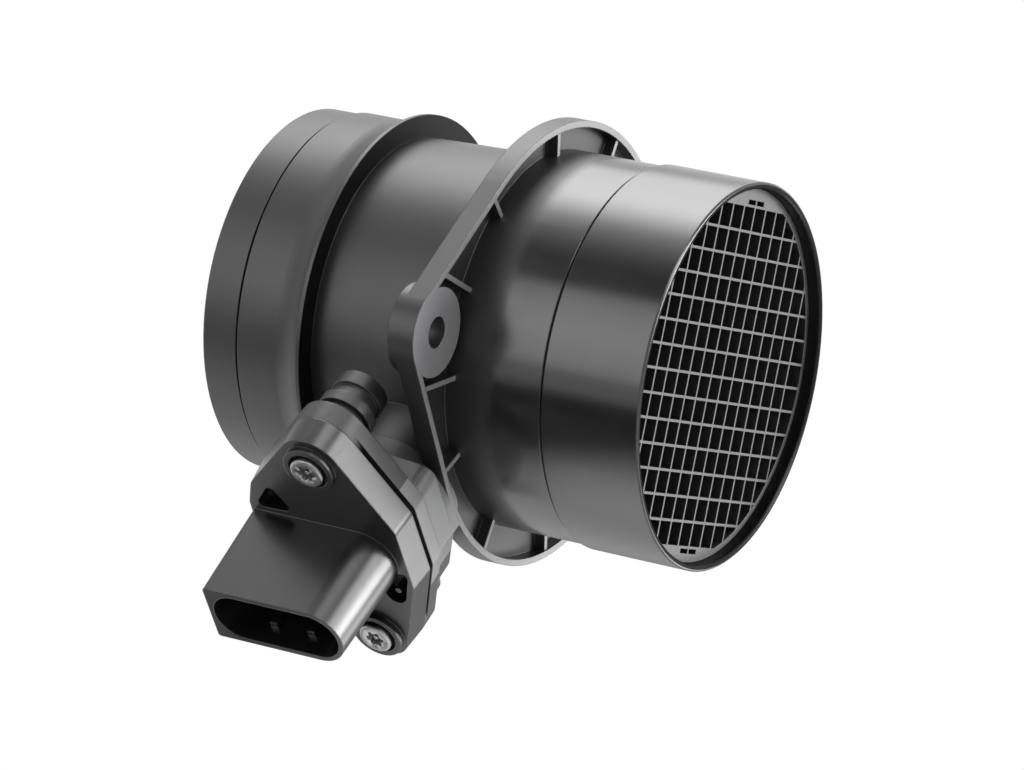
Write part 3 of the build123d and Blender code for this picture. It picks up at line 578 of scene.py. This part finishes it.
class Wardrobe:
    """Makes each finish once and dresses pieces in it."""

    def __init__(self) -> None:
        """Start with nothing made."""
        self.made: dict[Finish, bpy.types.Material] = {}

    def dress(self, piece: bpy.types.Object, finish: Finish) -> None:
        """Give a piece its finish.

        Args:
            piece: the object to dress.
            finish: the finish for all its faces.
        """
        if finish not in self.made:
            self.made[finish] = finish.value.build()
        piece.data.materials.clear()
        piece.data.materials.append(self.made[finish])


# ---------------------------------------------------------------- meshes
def angles(count: int) -> np.ndarray:
    """Return evenly spaced angles round a full turn."""
    return np.arange(count) * 2 * pi / count


def grid_faces(rows: int, columns: int, closed: bool) -> np.ndarray:
    """Number the four-sided faces of a grid of points.

    Args:
        rows: points along the first parameter.
        columns: points along the second parameter.
        closed: whether the last column joins the first.

    Returns:
        The faces' corners, row by row.
    """
    row = np.arange(rows - 1)[:, None]
    column = np.arange(columns if closed else columns - 1)[None, :]
    after = (column + 1) % columns
    here = row * columns + column
    corners = (here, row * columns + after, (row + 1) * columns + after, here + columns)
    return np.stack([np.broadcast_to(corner, here.shape) for corner in corners], -1).reshape(-1, 4)


def piece_from(
    name: str, points: np.ndarray, faces: np.ndarray, smooth: bool = True
) -> bpy.types.Object:
    """Make an object of points and four-sided faces.

    Args:
        name: the object's name.
        points: the points' places, one row each.
        faces: the faces' corners, one row each.
        smooth: whether the faces are shaded smooth.

    Returns:
        The new object, at the origin.
    """
    mesh = bpy.data.meshes.new(name)
    mesh.vertices.add(len(points))
    mesh.vertices.foreach_set("co", points.astype(np.float32).ravel())
    mesh.loops.add(faces.size)
    mesh.loops.foreach_set("vertex_index", faces.astype(np.int32).ravel())
    mesh.polygons.add(len(faces))
    mesh.polygons.foreach_set("loop_start", np.arange(0, faces.size, 4, dtype=np.int32))
    mesh.update(calc_edges=True)
    mesh.validate()
    mesh.polygons.foreach_set("use_smooth", np.full(len(mesh.polygons), smooth))
    piece = bpy.data.objects.new(name, mesh)
    bpy.context.scene.collection.objects.link(piece)
    return piece


def tubes(
    centres: np.ndarray,
    side: np.ndarray,
    rise: np.ndarray,
    radius: float,
    sides: int,
    end_share: float = 1e-3,
) -> Surface:
    """Carry a circle along many paths at once, with a closed cap at each end.

    A point is centre + r (cos a side + sin a rise), where r is the radius on the path and almost 0
    at the two extra steps that close its ends.

    Args:
        centres: paths as an array of path, step and coordinate.
        side: unit vector across each step, in the same layout.
        rise: unit vector square to it.
        radius: the tube's radius.
        sides: points round the tube.
        end_share: share of the radius that is left where an end closes.

    Returns:
        The points and the faces of all the tubes.
    """
    ends = np.concatenate([centres[:, :1], centres, centres[:, -1:]], 1)
    across = np.concatenate([side[:, :1], side, side[:, -1:]], 1)[:, :, None]
    upward = np.concatenate([rise[:, :1], rise, rise[:, -1:]], 1)[:, :, None]
    width = np.full(ends.shape[1], radius)
    width[[0, -1]] = radius * end_share
    angle = angles(sides)[None, None, :, None]
    ring = across * np.cos(angle) + upward * np.sin(angle)
    points = ends[:, :, None] + width[None, :, None, None] * ring
    paths, steps = ends.shape[:2]
    one = grid_faces(steps, sides, True)
    faces = one[None] + (np.arange(paths) * steps * sides)[:, None, None]
    return points.reshape(-1, 3), faces.reshape(-1, 4)


def weld(piece: bpy.types.Object, within: float = 1e-6) -> None:
    """Join doubled points and turn the faces outwards.

    Args:
        piece: the object whose mesh is mended.
        within: how close two points are when they count as one.
    """
    shell = bmesh.new()
    shell.from_mesh(piece.data)
    bmesh.ops.remove_doubles(shell, verts=shell.verts, dist=within)
    bmesh.ops.recalc_face_normals(shell, faces=shell.faces)
    shell.to_mesh(piece.data)
    shell.free()
    piece.data.update()


# ---------------------------------------------------------------- wire screen
@dataclass
class WovenScreen:
    """Coarse woven wire disc in its pressed rim, behind the inlet grid."""

    node: str = "wire_screen"
    pitch: float = 6.9 * MM
    wires_each_side: int = 5
    wire_radius: float = 0.19 * MM
    weave: float = 0.17 * MM
    mesh_radius: float = 37.15 * MM
    rim_inner: float = 37.0 * MM
    steps_per_pitch: int = 8
    wire_sides: int = 8
    rim_steps: int = 144
    rim_rounding: float = 0.4
    name: str = "woven_screen"

    def _wires(self, middle: float) -> Surface:
        """Work out the wires of both directions.

        A wire at offset c runs along s and weaves as x = middle +- w cos(pi s / pitch), with the
        sign taken from its number and its direction, so that each crossing has one wire on top.

        Args:
            middle: the screen's middle plane along X.

        Returns:
            Points and faces of all the wires.
        """
        number = np.arange(-self.wires_each_side, self.wires_each_side + 1)
        offset = number * self.pitch
        reach = np.sqrt(self.mesh_radius**2 - offset**2)
        steps = 2 * self.wires_each_side * self.steps_per_pitch + 1
        along = np.linspace(-1.0, 1.0, steps)[None, :] * reach[:, None]
        sign = np.where(number % 2 == 0, 1.0, -1.0)[:, None]
        swing = self.weave * sign * np.cos(pi * along / self.pitch)
        slope = -self.weave * sign * np.sin(pi * along / self.pitch) * pi / self.pitch
        still = np.broadcast_to(offset[:, None], along.shape)
        parts: list[np.ndarray] = []
        faces: list[np.ndarray] = []
        start = 0
        for upright in (False, True):
            lift = swing if upright else -swing
            tilt = slope if upright else -slope
            order = (middle + lift, still, along) if upright else (middle + lift, along, still)
            centres = np.stack(order, -1)
            length = np.sqrt(1.0 + tilt**2)
            zero = np.zeros_like(tilt)
            rise_parts = (1.0 / length, zero, -tilt / length)
            if upright:
                side = np.stack((zero, np.ones_like(zero), zero), -1)
            else:
                side = np.stack((zero, zero, -np.ones_like(zero)), -1)
                rise_parts = (1.0 / length, -tilt / length, zero)
            rise = np.stack(rise_parts, -1)
            points, one = tubes(centres, side, rise, self.wire_radius, self.wire_sides)
            parts.append(points)
            faces.append(one + start)
            start += len(points)
        return np.concatenate(parts), np.concatenate(faces)

    def _rim(self, low: Sequence[float], high: Sequence[float]) -> Surface:
        """Turn the rim's rounded flat section round the X axis.

        A point is (x, r cos a, r sin a), with x and r following the closed section.

        Args:
            low: the solid's lowest corner.
            high: its highest corner.

        Returns:
            Points and faces of the rim.
        """
        outer = high[1]
        half = (high[0] - low[0]) / 2
        middle = (high[0] + low[0]) / 2
        cut = half * self.rim_rounding
        inner = self.rim_inner
        back = [-half, -half, -half + cut, half - cut]
        front = [half, half, half - cut, -half + cut]
        x = middle + np.array(back + front)
        outwards = [inner + cut, outer - cut, outer, outer]
        inwards = [outer - cut, inner + cut, inner, inner]
        r = np.array(outwards + inwards)
        angle = angles(self.rim_steps)
        points = np.stack(
            (
                np.broadcast_to(x, (self.rim_steps, len(x))),
                r[None, :] * np.cos(angle)[:, None],
                r[None, :] * np.sin(angle)[:, None],
            ),
            -1,
        )
        ring = np.concatenate([points, points[:1]]).reshape(-1, 3)
        return ring, grid_faces(self.rim_steps + 1, len(x), True)

    def build(self, wardrobe: Wardrobe) -> None:
        """Make the screen and let it stand for its solid.

        Args:
            wardrobe: where its finish comes from.
        """
        low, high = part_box(self.node)
        points, faces = self._wires((low[0] + high[0]) / 2)
        rim_points, rim_faces = self._rim(low, high)
        screen = piece_from(
            self.name,
            np.concatenate([points, rim_points]),
            np.concatenate([faces, rim_faces + len(points)]),
        )
        weld(screen)
        wardrobe.dress(screen, Finish.SCREEN)
        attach(screen, BODY)
        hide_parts(self.node)
        log.info("%s: %d points", self.name, len(points) + len(rim_points))


# ---------------------------------------------------------------- star screws
@dataclass
class StarScrew:
    """Star-drive screw with a centre pin, a rounded head and a rolled thread.

    The recess's foot and mouth are pairs of inset and height, the foot's above the recess's floor
    and the mouth's from the head's top.
    """

    node: str
    foot: Place
    axis: Place
    head_radius: float = 3.7 * MM
    head_height: float = 2.9 * MM
    head_chamfer: float = 0.12 * MM
    edge: float = 0.45 * MM
    edge_margin: float = 0.15 * MM
    edge_rows: int = 7
    shank_length: float = 14.0 * MM
    shank_fillet: float = 0.2 * MM
    core_radius: float = 1.62 * MM
    crest_radius: float = 1.98 * MM
    tip_cut: float = 0.5 * MM
    thread_pitch: float = 1.6 * MM
    thread_slope: float = 3.2
    thread_start: float = 0.35 * MM
    thread_run_in: float = 0.8 * MM
    thread_run_out: float = 1.6 * MM
    star_lobes: int = 6
    star_radius: float = 1.75 * MM
    star_lobe: float = 0.32 * MM
    star_depth: float = 1.7 * MM
    recess_foot: Stops = ((0.08 * MM, 0.0), (0.03 * MM, 0.06 * MM))
    recess_mouth: Stops = ((0.0, -0.14 * MM), (-0.05 * MM, -0.05 * MM), (-0.14 * MM, 0.0))
    pin_radius: float = 0.55 * MM
    pin_height: float = 1.25 * MM
    pin_chamfer: float = 0.12 * MM
    pin_fillet: float = 0.05 * MM
    columns: int = 72
    thread_rows_per_pitch: int = 8
    sharp_angle: float = radians(38.0)

    def _star(self, angle: np.ndarray, inset: float) -> np.ndarray:
        """Return the recess's radius: r = star + lobe cos(n a) for n lobes, less an inset."""
        return self.star_radius + self.star_lobe * np.cos(self.star_lobes * angle) - inset

    def _head_rows(self, angle: np.ndarray) -> list[tuple[np.ndarray, float]]:
        """Work out the head's rings, from the centre pin outwards and down to its seat.

        Args:
            angle: angle of each column.

        Returns:
            Pairs of the ring's radius at each angle and its height above the head's seat.
        """
        even = np.ones(self.columns)
        top = self.head_height
        floor = top - self.star_depth
        pin_top = floor + self.pin_height
        rows = [
            (even * POINT_RADIUS, pin_top),
            (even * (self.pin_radius - self.pin_chamfer), pin_top),
            (even * self.pin_radius, pin_top - self.pin_chamfer),
            (even * self.pin_radius, floor + self.pin_fillet),
            (even * (self.pin_radius + self.pin_fillet), floor),
        ]
        rows += [(self._star(angle, inset), floor + rise) for inset, rise in self.recess_foot]
        rows += [(self._star(angle, inset), top + rise) for inset, rise in self.recess_mouth]
        rim = self.head_radius - self.edge
        rows.append((even * (rim - self.edge_margin), top))
        for turn in np.linspace(0.0, pi / 2, self.edge_rows):
            rows.append((even * (rim + self.edge * sin(turn)), top - self.edge * (1 - cos(turn))))
        rows.append((even * self.head_radius, self.head_chamfer))
        rows.append((even * (self.head_radius - self.head_chamfer), 0.0))
        return rows

    def _shank_rows(self, angle: np.ndarray) -> list[tuple[np.ndarray, float]]:
        """Work out the shank's rings, from the head's seat down to the tip.

        The thread is a triangle wave of the angle and the height, r = core + tooth (crest - core),
        which runs in and out at its ends.

        Args:
            angle: angle of each column.

        Returns:
            Pairs of the ring's radius at each angle and its height above the head's seat.
        """
        even = np.ones(self.columns)
        tip = -self.shank_length
        start = -self.thread_start
        rows = [
            (even * (self.core_radius + self.shank_fillet), 0.0),
            (even * self.core_radius, -self.shank_fillet),
        ]
        count = int(self.shank_length / self.thread_pitch * self.thread_rows_per_pitch)
        rise = self.crest_radius - self.core_radius
        for height in np.linspace(start, tip + self.tip_cut, count):
            phase = angle / (2 * pi) + height / self.thread_pitch
            tooth = np.clip(1.0 - self.thread_slope * np.abs(phase % 1.0 - 0.5), 0.0, 1.0)
            run_in = (start - height) / self.thread_run_in
            run_out = (height - tip) / self.thread_run_out
            rows.append((self.core_radius + rise * tooth * min(1.0, run_in, run_out), height))
        rows.append((even * (self.core_radius - self.tip_cut), tip))
        rows.append((even * POINT_RADIUS, tip))
        return rows

    def build(self, name: str, wardrobe: Wardrobe) -> None:
        """Make the screw and let it stand for its solid.

        A point is foot + h axis + r (cos a u + sin a v), with u and v square to the axis.

        Args:
            name: the piece's name.
            wardrobe: where its finish comes from.
        """
        angle = angles(self.columns)
        rows = self._head_rows(angle) + self._shank_rows(angle)
        radius = np.stack([ring for ring, _ in rows])
        height = np.array([level for _, level in rows])[:, None, None]
        axis = np.array(self.axis)
        along = np.array([1.0, 0.0, 0.0])
        across = np.cross(axis, along)
        ring = np.cos(angle)[:, None] * along + np.sin(angle)[:, None] * across
        points = np.array(self.foot) + height * axis + radius[:, :, None] * ring[None]
        screw = piece_from(name, points.reshape(-1, 3), grid_faces(len(rows), self.columns, True))
        weld(screw)
        screw.data.set_sharp_from_angle(angle=self.sharp_angle)
        wardrobe.dress(screw, Finish.SCREW)
        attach(screw, BODY)
        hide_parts(self.node)
        log.info("%s: %d points", name, points.size // 3)


# ---------------------------------------------------------------- sub-assemblies
@dataclass
class Duct:
    """Moulded duct with its grid, spacer ring and woven screen."""

    finishes: dict[str, Finish] = field(
        default_factory=lambda: {
            "tube_housing": Finish.HOUSING,
            "inlet_grid": Finish.GRID,
            "screen_retaining_ring": Finish.GRID,
            "wire_screen": Finish.SCREEN,
        }
    )
    screen: WovenScreen = field(default_factory=WovenScreen)

    def build(self, wardrobe: Wardrobe) -> None:
        """Dress the duct's solids and make its screen, with finishes from the wardrobe."""
        dress_nodes(self.finishes, wardrobe)
        self.screen.build(wardrobe)


@dataclass
class PlugInSensor:
    """Sensor with its contacts, lids, electronics, seal and screws."""

    finishes: dict[str, Finish] = field(
        default_factory=lambda: {
            "sensor_housing": Finish.SENSOR,
            "hybrid_cover": Finish.SENSOR,
            "channel_cover": Finish.SENSOR,
            "base_plate": Finish.BASE,
            "hybrid_board": Finish.BOARD,
            "chip_carrier": Finish.BOARD,
            "evaluation_chip": Finish.CHIP,
            "chip_capacitor_1": Finish.CHIP,
            "chip_capacitor_2": Finish.CHIP,
            "hot_film_chip": Finish.SILICON,
            "air_thermistor": Finish.BEAD,
            "thermistor_lead_1": Finish.PIN,
            "thermistor_lead_2": Finish.PIN,
            "seal_ring": Finish.SEAL,
            "screw_upper": Finish.SCREW,
            "screw_lower": Finish.SCREW,
        }
    )
    contacts: int = 5
    origin_x: float = -13.4 * MM
    tilt: float = radians(42.0)
    seat_height: float = 66.6 * MM
    screw_places: dict[str, tuple[float, float]] = field(
        default_factory=lambda: {
            "screw_upper": (-2.6 * MM, 24.7 * MM),
            "screw_lower": (0.6 * MM, -23.6 * MM),
        }
    )

    def _outward(self) -> Place:
        """Return the direction in which the sensor leaves the duct."""
        return 0.0, -sin(self.tilt), -cos(self.tilt)

    def _foot(self, x: float, y: float) -> Place:
        """Find the place under a screw's head.

        Args:
            x: the screw's place on the sensor's flange, along the duct.
            y: its place across the duct.

        Returns:
            The place in the part's frame.
        """
        outward = np.array(self._outward())
        level = np.array([0.0, -cos(self.tilt), sin(self.tilt)])
        place = np.array([self.origin_x + x, 0.0, 0.0]) + y * level + self.seat_height * outward
        return tuple(place.tolist())

    def build(self, wardrobe: Wardrobe) -> None:
        """Dress the sensor's solids and make its screws.

        Args:
            wardrobe: where the finishes come from.
        """
        contacts = {f"pin_{number + 1}": Finish.PIN for number in range(self.contacts)}
        dress_nodes(self.finishes | contacts, wardrobe)
        for node, (x, y) in self.screw_places.items():
            screw = StarScrew(node=node, foot=self._foot(x, y), axis=self._outward())
            screw.build(f"star_{node}", wardrobe)


def dress_nodes(finishes: Mapping[str, Finish], wardrobe: Wardrobe) -> None:
    """Give solids their finishes.

    Args:
        finishes: the finish of each node, by name.
        wardrobe: where the finishes come from.
    """
    for node, finish in finishes.items():
        wardrobe.dress(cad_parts[node], finish)
        log.info("%s dressed in %s", node, finish.slot)


# ---------------------------------------------------------------- studio
CARD_FLOOR = -0.219  # the cards on the floor lie just above it
UPRIGHT = 0.95  # cosine beyond which a lamp hangs straight overhead


@dataclass
class SoftBox:
    """Rectangular lamp that faces a point."""

    name: str
    place: Place
    aim: Place
    width: float
    height: float
    radiance: float
    mirrored: bool = True

    def build(self) -> None:
        """Hang the lamp, with its power worked out from its radiance and area."""
        lamp = bpy.data.lights.new(self.name, "AREA")
        lamp.shape = "RECTANGLE"
        lamp.size = self.width
        lamp.size_y = self.height
        lamp.energy = self.radiance * pi * self.width * self.height
        lit = bpy.data.objects.new(self.name, lamp)
        back = np.array(self.place) - np.array(self.aim)
        back = back / np.linalg.norm(back)
        up = np.array([0.0, 0.0, 1.0] if abs(back[2]) < UPRIGHT else [0.0, 1.0, 0.0])
        right = np.cross(up, back)
        right = right / np.linalg.norm(right)
        turned = Matrix(np.stack((right, np.cross(back, right), back), 1).tolist()).to_4x4()
        turned.translation = self.place
        lit.matrix_world = turned
        lit.visible_camera = False
        lit.visible_glossy = self.mirrored
        bpy.context.scene.collection.objects.link(lit)


@dataclass
class GlowCard:
    """Card whose glow varies along one axis and that only reflections see."""

    name: str
    corner: Place
    first_side: Place
    second_side: Place
    axis: str
    stops: Stops

    def build(self) -> None:
        """Set the card up between its two sides and light it between the stops."""
        places = (self.corner, self.first_side, self.second_side)
        start, first, second = (np.array(place) for place in places)
        points = np.stack((start, start + first, start + first + second, start + second))
        card = piece_from(self.name, points, np.array([[0, 1, 2, 3]]), False)
        material, graph = new_graph(self.name)
        glow = graph.along(graph.place(), self.axis).through(self.stops)
        colour = graph.node("ShaderNodeCombineXYZ", {}, {0: glow, 1: glow, 2: glow})
        lit = graph.node("ShaderNodeEmission", {}, {"Color": colour, "Strength": 1.0})
        graph.node("ShaderNodeOutputMaterial", {}, {"Surface": lit})
        card.data.materials.append(material)
        for ray in ("camera", "diffuse", "transmission", "shadow", "volume_scatter"):
            setattr(card, f"visible_{ray}", False)


@dataclass
class Studio:
    """Pale floor, soft lamps, white surroundings and the camera."""

    floor_height: float = -0.22
    floor_size: float = 24.0
    floor_fade: Band = (0.45, 1.0)
    floor_white: float = 0.80
    paper_size: float = 4.0 * MM
    paper_tones: Band = (0.80, 0.84)
    camera_place: Place = (0.543677, -1.046865, 0.024046)
    camera_right: Place = (0.8655611, 0.4624961, 0.1920973)
    camera_up: Place = (-0.1835341, -0.0639449, 0.9809313)
    camera_back: Place = (0.4659605, -0.8843124, 0.0295356)
    lens: float = 197.23
    sensor_width: float = 36.0
    clip: Band = (0.01, 50.0)
    ambient: float = 0.30
    lamps: tuple[SoftBox, ...] = (
        SoftBox("overhead_box", (-0.30, 0.25, 0.95), (0.0, 0.0, 0.0), 0.60, 0.60, 7.0, False),
        SoftBox("key_card", (0.87, 0.50, 0.31), (0.0, -0.03, -0.03), 0.55, 0.55, 19.0),
    )
    cards: tuple[GlowCard, ...] = (
        GlowCard(
            "overhead_card",
            (-0.62, -0.90, 0.85),
            (0.50, 0.0, 0.0),
            (0.0, 2.30, 0.0),
            "Y",
            ((-0.73, 0.15), (-0.51, 0.6), (-0.33, 1.4), (-0.17, 2.7), (-0.03, 5.9), (0.11, 7.7),
             (0.43, 5.0), (0.91, 2.8), (1.35, 1.2)),
        ),
        GlowCard(
            "front_card",
            (-0.66, -0.90, CARD_FLOOR),
            (0.36, 0.0, 0.0),
            (0.0, 0.0, 1.065),
            "Z",
            ((-0.20, 2.7), (0.12, 3.6), (0.45, 2.8), (0.57, 2.3), (0.64, 0.15), (0.85, 0.12)),
        ),
        GlowCard(
            "floor_card",
            (-0.085, -0.62, CARD_FLOOR),
            (0.26, 0.0, 0.0),
            (0.0, 0.65, 0.0),
            "Y",
            ((-0.56, 1.4), (-0.47, 1.2), (-0.43, 0.05), (-0.25, 0.04), (-0.18, 0.7), (-0.13, 1.3),
             (-0.08, 2.1), (-0.02, 2.1), (0.03, 1.6)),
        ),
        GlowCard(
            "floor_gap_card",
            (-0.14, -0.62, CARD_FLOOR),
            (0.055, 0.0, 0.0),
            (0.0, 0.65, 0.0),
            "Y",
            ((-0.2, 0.04), (0.38, 0.04)),
        ),
        GlowCard(
            "floor_far_card",
            (-0.50, -0.62, CARD_FLOOR),
            (0.36, 0.0, 0.0),
            (0.0, 0.65, 0.0),
            "Y",
            ((-0.56, 1.4), (-0.47, 1.2), (-0.43, 0.05), (-0.30, 0.04), (-0.20, 1.0), (-0.08, 1.6),
             (0.03, 1.4)),
        ),
        GlowCard(
            "floor_back_card",
            (-0.90, 0.03, CARD_FLOOR),
            (1.10, 0.0, 0.0),
            (0.0, 1.60, 0.0),
            "Y",
            ((0.03, 1.5), (0.14, 1.1), (0.33, 0.7), (0.54, 0.45), (1.26, 0.3)),
        ),
        GlowCard(
            "high_card",
            (0.95, -0.32, 0.36),
            (0.0, 0.50, 0.0),
            (0.0, 0.0, 0.56),
            "Z",
            ((0.4, 9.0), (0.9, 8.0)),
        ),
        GlowCard(
            "overhead_side_card",
            (0.05, -0.82, 0.85),
            (0.60, 0.0, 0.0),
            (0.0, 0.44, 0.0),
            "Y",
            ((-0.82, 6.5), (-0.50, 6.5), (-0.38, 4.5)),
        ),
        GlowCard(
            "kicker_card",
            (0.08, 0.15, -0.17),
            (0.19, 0.0, 0.0),
            (0.0, 0.0, 0.11),
            "Z",
            ((-0.17, 5.5), (-0.06, 5.5)),
        ),
    )

    @staticmethod
    def _seen(graph: Graph) -> Signal:
        """Find the rays that show the surroundings: camera, mirrored and refracted ones.

        Args:
            graph: the graph that asks.

        Returns:
            1 on those rays and 0 on the others.
        """
        rays = ("Is Camera Ray", "Is Glossy Ray", "Is Transmission Ray")
        camera, glossy, refracted = (
            graph.node("ShaderNodeLightPath", {}, {}, ray) for ray in rays
        )
        return (camera + glossy + refracted).clipped()

    def _floor(self) -> None:
        """Lay the floor: shadowed near the object, white far off, and clear from below."""
        half = self.floor_size / 2
        corners = np.array([[-half, -half], [half, -half], [half, half], [-half, half]])
        points = np.concatenate([corners, np.full((4, 1), self.floor_height)], 1)
        floor = piece_from("floor", points, np.array([[0, 1, 2, 3]]), False)
        material, graph = new_graph("floor_paper")
        where = graph.place()
        paper = graph.noise(self.paper_size, where, 2.0)
        dark, light = (opaque(WHITE[:3], tone) for tone in self.paper_tones)
        tone = graph.blend(paper, dark, light)
        matt = graph.node("ShaderNodeBsdfDiffuse", {}, {"Color": tone})
        white = graph.node("ShaderNodeEmission", {}, {"Color": WHITE, "Strength": 1.0})
        far = graph.length(where)
        near, away = self.floor_fade
        fade = ((far - near) / (away - near)).clipped()
        share = self._seen(graph) * (self.floor_white + fade * (1.0 - self.floor_white))
        mixed = graph.node("ShaderNodeMixShader", {}, {0: share, 1: matt, 2: white})
        under = graph.node("ShaderNodeNewGeometry", {}, {}, "Backfacing")
        clear = graph.node("ShaderNodeBsdfTransparent", {}, {})
        one_way = graph.node("ShaderNodeMixShader", {}, {0: under, 1: mixed, 2: clear})
        graph.node("ShaderNodeOutputMaterial", {}, {"Surface": one_way})
        floor.data.materials.append(material)

    def _surroundings(self) -> None:
        """Surround the scene in white for the camera and for reflections, and grey for light."""
        world = bpy.data.worlds.new("studio")
        world.use_nodes = True
        bpy.context.scene.world = world
        graph = Graph(world.node_tree)
        strength = self._seen(graph) * (1.0 - self.ambient) + self.ambient
        glow = graph.node("ShaderNodeBackground", {}, {"Color": WHITE, "Strength": strength})
        graph.node("ShaderNodeOutputWorld", {}, {"Surface": glow})

    def _camera(self) -> None:
        """Set up the camera from its place and its three axes."""
        camera = bpy.data.cameras.new("camera")
        camera.sensor_width = self.sensor_width
        camera.lens = self.lens
        camera.clip_start, camera.clip_end = self.clip
        view = bpy.data.objects.new("camera", camera)
        axes = np.stack((self.camera_right, self.camera_up, self.camera_back), 1)
        turned = Matrix(axes.tolist()).to_4x4()
        turned.translation = self.camera_place
        view.matrix_world = turned
        bpy.context.scene.collection.objects.link(view)
        bpy.context.scene.camera = view

    def build(self) -> None:
        """Set up the whole studio."""
        self._floor()
        for card in self.cards:
            card.build()
        self._surroundings()
        self._camera()
        for lamp in self.lamps:
            lamp.build()
        bpy.context.scene.view_settings.view_transform = "Standard"
        log.info("studio: %d lamps and %d cards", len(self.lamps), len(self.cards))


def main() -> None:
    """Build the sensor and its studio."""
    logging.basicConfig(level=logging.INFO, format="%(name)s: %(message)s")
    wardrobe = Wardrobe()
    Duct().build(wardrobe)
    PlugInSensor().build(wardrobe)
    Studio().build()


if __name__ == "__main__":
    main()
